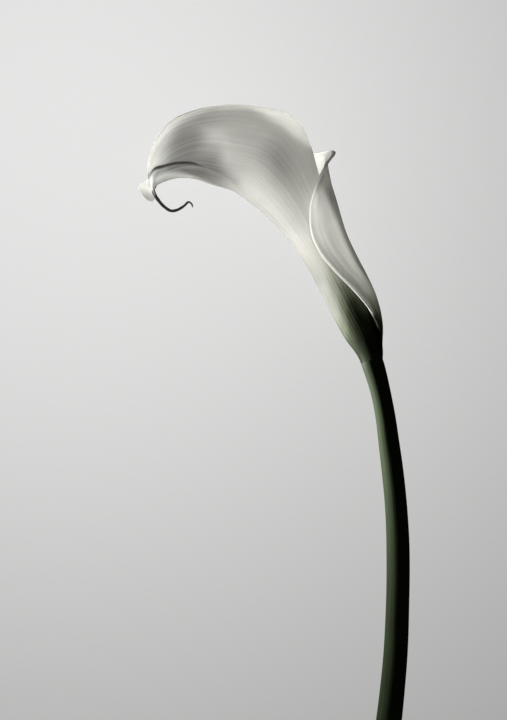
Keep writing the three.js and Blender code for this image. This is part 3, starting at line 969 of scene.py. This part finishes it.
beside_midrib = sums("ABSOLUTE", spread)
# The rim is painted white, partly as a painted highlight where the rolled rim catches the light.
rim_white_and_highlight = fade(spread, -0.998, -0.97, 0.16, 0.0)
shifts = [
    sums("MULTIPLY_ADD", streaks, 0.10, -0.05),
    # Darker green away from the midrib near the neck, partly painted shade.
    fade(beside_midrib, 0.2, 0.6, 0.045, -0.065),
    fade(spread, -0.9, -0.55, 0.09, 0.0),
    times(rim_white_and_highlight, fade(station, 0.09, 0.125)),
    sums("MULTIPLY_ADD", veins, 0.08, -0.04),
]
shifted = station
for shift in shifts:
    shifted = sums("ADD", shifted, shift)
base_colour = colour_steps(shifted, GREEN_TO_WHITE)
vein_tone = fade(veins, 0.3, 0.65, 0.91, 1.0)
mottle_tone = fade(mottle, 0.3, 0.7, 0.95, 1.0)
grain_tone = fade(grain, 0.3, 0.7, 0.97, 1.0)
tone = times(times(vein_tone, mottle_tone), grain_tone)
tone_colour = put("CombineColor", {0: tone, 1: tone, 2: tone}).outputs[0]
petal_colour = blended(1.0, base_colour, tone_colour, "MULTIPLY")
print("petal colours", len(tree.nodes), "nodes")

# %% [markdown]
# The painted shade of the crease and of the other patches, and the stain at the leaf's very end, are laid
# over the white, again in streaks that follow the veins.

# %% Painted shade and stains of the petal
# One dark colour for the stain at the tip and for the painted shade.
STAIN_AND_SHADE = (0.05, 0.045, 0.03, 1)

# The crease number is painted shade in the crease under the fold, laid in streaks.
crease_streaks = fade(veins, 0.2, 0.6, 0.85, 1.0)
crease_shade = sums("MULTIPLY", number_on("crease"), crease_streaks, clamp=True)
tip_stain = fade(sums("MULTIPLY_ADD", veins, 0.006, station), 0.996, 1.004)
tip_stain = times(tip_stain, fade(spread, -0.75, -0.3))
# The shade number is painted shade, laid in streaks.
shade_streaks = fade(veins, 0.35, 0.65, 1.0, 0.8)
painted_shade = times(number_on("shade"), shade_streaks)
stain_and_shade = sums("MAXIMUM", sums("MAXIMUM", crease_shade, tip_stain), painted_shade)
petal_colour = blended(stain_and_shade, petal_colour, STAIN_AND_SHADE)
print("petal stains", len(tree.nodes), "nodes")

# %% [markdown]
# A diffuse surface with a soft wax gloss is mixed with a translucent one, which lets the light behind the
# bloom come through. The thick green base lets none through, and the thick midrib at the tip lets little.

# %% Petal surface
petal_bump = raised(0.35, 0.00012, sums("MULTIPLY_ADD", grain, 0.25, veins))
petal_face = surface(petal_colour, 0.5, 0.3, Normal=petal_bump)
petal_glow = put("BsdfTranslucent", {"Color": petal_colour, "Normal": petal_bump}).outputs[0]
thinness = sums("MULTIPLY_ADD", number_on("dense"), -0.6, 1.0)
see_through = times(fade(station, 0.03, 0.33, 0.0, 0.62), thinness)
petal_mix = put("MixShader", {0: see_through, 1: petal_face, 2: petal_glow})
finish(spathe, petal, petal_mix.outputs[0])

# %% [markdown]
# The dried tail is brown-black, with a paler fibre here and there. Its root is still grey-green.

# %% Tail material
dried, tree = new_material("dried_tip")
place = put("TexCoord").outputs["Object"]
fibres = noise(place, 700.0, 4.0, 0.65)
fibre_share = fade(fibres, 0.45, 0.75)
dried_colour = blended(fibre_share, (0.006, 0.0055, 0.004, 1), (0.022, 0.019, 0.012, 1))
still_green = fade(number_on("share"), 0.0, 0.1, 1.0, 0.0)
dried_colour = blended(still_green, dried_colour, (0.05, 0.047, 0.03, 1))
finish(tail, dried, surface(dried_colour, 0.6, Normal=raised(0.5, 0.0002, fibres)))

# %% [markdown]
# The stem is deep green under a thin wax bloom, with fine lines along it and some paler speckles. Its cut
# end changes to wet, pale pith: a speckled, porous middle with a darker green ring of skin round it.

# %% Stem material
stalk, tree = new_material("stalk")
cut = number_on("cut")
way = number_on("way")
side_x = number_on("side_x")
side_y = number_on("side_y")
round_x, round_y = times(side_x, 14.0), times(side_y, 14.0)
along_stem = stretched(round_x, round_y, times(way, 0.045))
lines = noise(along_stem, 1.0, 4.0, 0.6)
place = put("TexCoord").outputs["Object"]
blotches = noise(place, 60.0, 3.0, 0.55)
speckle = noise(place, 1500.0, 2.0, 0.5)
line_share = fade(lines, 0.35, 0.65)
skin_colour = blended(line_share, (0.040, 0.056, 0.026, 1), (0.062, 0.084, 0.038, 1))
blotch_share = fade(blotches, 0.4, 0.7, 0.0, 0.5)
skin_colour = blended(blotch_share, skin_colour, (0.055, 0.085, 0.03, 1))
speckle_share = fade(speckle, 0.62, 0.75, 0.0, 0.4)
skin_colour = blended(speckle_share, skin_colour, (0.13, 0.15, 0.08, 1))
pores = put("TexVoronoi", {"Vector": place, "Scale": 1400.0}, feature="DISTANCE_TO_EDGE").outputs[0]
between_pores = fade(pores, 0.02, 0.2)
pith_colour = blended(between_pores, (0.22, 0.25, 0.13, 1), (0.52, 0.56, 0.38, 1))
ring_colour = blended(fade(cut, 0.84, 0.95), pith_colour, (0.10, 0.15, 0.05, 1))
stalk_colour = blended(fade(cut, 1.0, 1.05), ring_colour, skin_colour)
relief = sums("ADD", lines, times(speckle, 0.2))
finish(stem, stalk, surface(stalk_colour, 0.62, 0.2, Normal=raised(0.2, 0.0001, relief)))

# %% [markdown]
# The florets are cream where they rise and deep yellow between, under a dust of pollen.

# %% Spadix material
# The two ends of the ramp come first.
GAP_TO_DOME = [(0.0, (0.20, 0.11, 0.02)), (1.0, (0.88, 0.72, 0.36)), (0.45, (0.62, 0.40, 0.08))]

pollen, tree = new_material("pollen")
place = put("TexCoord").outputs["Object"]
dust = noise(place, 3000.0, 3.0, 0.6)
heap = noise(place, 220.0, 2.0, 0.5)
floret_colour = colour_steps(number_on("dome"), GAP_TO_DOME)
heap_share = fade(heap, 0.45, 0.7, 0.0, 0.5)
floret_colour = blended(heap_share, floret_colour, (0.90, 0.80, 0.50, 1))
finish(spadix, pollen, surface(floret_colour, 0.85, Normal=raised(0.6, 0.0002, dust)))

# %% [markdown]
# ## The studio
# The flower lies on a pale board. In the photograph one light comes from the left, low and hard enough to
# leave the stem's right half black, and a soft light opens up the bloom.

# %% Floor
FLOOR_SIZE = 6.0
FLOOR_DROP = 0.0003  # keeps the board just clear of the flower

floor_mesh = bpy.data.meshes.new("board")
half = FLOOR_SIZE / 2
floor_corners = [(-half, -half, 0), (half, -half, 0), (half, half, 0), (-half, half, 0)]
floor_mesh.from_pydata(floor_corners, [], [(0, 1, 2, 3)])
floor = bpy.data.objects.new("board", floor_mesh)
floor.location.z = -FLOOR_DROP
scene.collection.objects.link(floor)
floor.visible_diffuse = False
floor.visible_glossy = False
floor.visible_shadow = False

print("floor", FLOOR_SIZE, "m across")

# %% [markdown]
# The board is a matt pale grey, with a fine tooth and some broad, faint clouds.

# %% Board material
board, tree = new_material("board")
place = put("TexCoord").outputs["Object"]
tooth = noise(place, 900.0, 3.0, 0.6)
cloud = noise(place, 3.0, 2.0, 0.5)
tooth_share = fade(tooth, 0.3, 0.7)
board_colour = blended(tooth_share, (0.0775, 0.0775, 0.077, 1), (0.080, 0.080, 0.0795, 1))
cloud_share = fade(cloud, 0.3, 0.7, 0.0, 0.3)
board_colour = blended(cloud_share, board_colour, (0.076, 0.076, 0.0755, 1))
finish(floor, board, surface(board_colour, 0.9, 0.1))

# %% [markdown]
# Each lamp shines on one group of pieces alone, so the tone of each can be set by itself.


# %% Helpers for lights
def light_group(name, members):
    """A collection that a light shines on, alone."""
    group = bpy.data.collections.new(name)
    for member in members:
        group.objects.link(member)
    return group


def add_light(name, kind, place, target, energy, lit, **options):
    """A light at a place that points at a target. Both are in metres."""
    data = bpy.data.lights.new(name, kind)
    data.energy = energy
    for option, value in options.items():
        setattr(data, option, value)
    lamp = bpy.data.objects.new(name, data)
    lamp.location = place
    towards = Vector(target) - Vector(place)
    lamp.rotation_euler = towards.to_track_quat("-Z", "Y").to_euler()
    lamp.light_linking.receiver_collection = lit
    scene.collection.objects.link(lamp)
    return lamp


def from_side(azimuth, elevation, distance, target):
    """A place seen from the target: azimuth from +X towards +Y, and elevation above the board."""
    a, e = math.radians(azimuth), math.radians(elevation)
    away = np.array([math.cos(e) * math.cos(a), math.cos(e) * math.sin(a), math.sin(e)])
    return np.array(target) + distance * away


print("light helpers are ready")

# %% [markdown]
# Two low suns from the left light the bloom, and a third from below glows through its leaf. Small spot
# lamps open up the hood, the flap, the funnel, the tip and the flap's corner. The stem has a lamp of its
# own, down at the board. The board has a pool of light at the bloom and an even light, and the flower
# blocks neither, so it draws no long shadow.

# %% Lights
# Name, azimuth, elevation, distance in m, aim in mm from the neck, power in W, cone in degrees, how soft
# the cone's edge is, radius of the lamp in m.
SPOTS = [
    ("top_fill", 0, 89, 1.5, (-60, 101, 40), 50.0, 7.0, 0.3, 0.01),
    ("flap_fill", 20, 11, 1.5, (-12, 51, 35), 56.0, 3.1, 0.7, 0.01),
    ("tube_fill", 0, 89, 1.5, (-24, 56, 40), 34.0, 1.8, 1.0, 0.01),
    ("tip_fill", 262, 8, 1.5, (-101, 87, 35), 32.0, 1.9, 0.8, 0.01),
    ("corner_fill", 0, 89, 0.4, (-21.6, 98.2, 32), 14.0, 1.0, 0.5, 0.002),
]

stalk_only = light_group("stalk_only", [stem])
bloom = light_group("bloom_only", [spathe, tail, spadix])
board_only = light_group("board_only", [floor])
middle = (0.0, 0.03, 0.02)
stem_middle = (0.055, 0.015, 0.008)
add_light("left_key", "SUN", from_side(205, 3, 2.0, middle), middle, 3.0, bloom, angle=math.radians(8))
add_light("left_fill", "SUN", from_side(180, 5, 2.0, middle), middle, 2.6, bloom, angle=math.radians(8))
stem_lamp = (-0.054, 0.012, -0.002)
add_light("stem_key", "POINT", stem_lamp, stem_middle, 1.2, stalk_only, shadow_soft_size=0.01)
add_light("back_glow", "SUN", from_side(0, -89, 2.0, middle), middle, 5.0, bloom, angle=math.radians(6))
for name, azimuth, elevation, distance, aim, power, cone, blend, radius in SPOTS:
    target = to_place(aim)[0]
    start = from_side(azimuth, elevation, distance, target)
    options = {"spot_size": math.radians(cone), "spot_blend": blend, "shadow_soft_size": radius}
    add_light(name, "SPOT", start, target, power, bloom, **options)
board_lamps = [
    add_light("board_pool", "AREA", (-0.11, 0.16, 0.52), (-0.11, 0.16, 0.0), 23.5, board_only, size=0.2),
    add_light("board_day", "SUN", from_side(120, 65, 2.0, middle), middle, 4.4, board_only),
]
for lamp in board_lamps:
    lamp.light_linking.blocker_collection = board_only

world = bpy.data.worlds.new("studio")
world.use_nodes = True
background = world.node_tree.nodes["Background"]
background.inputs["Color"].default_value = (1, 1, 1, 1)
background.inputs["Strength"].default_value = 0.015
scene.world = world
scene.view_settings.view_transform = "Standard"
scene.view_settings.look = "None"
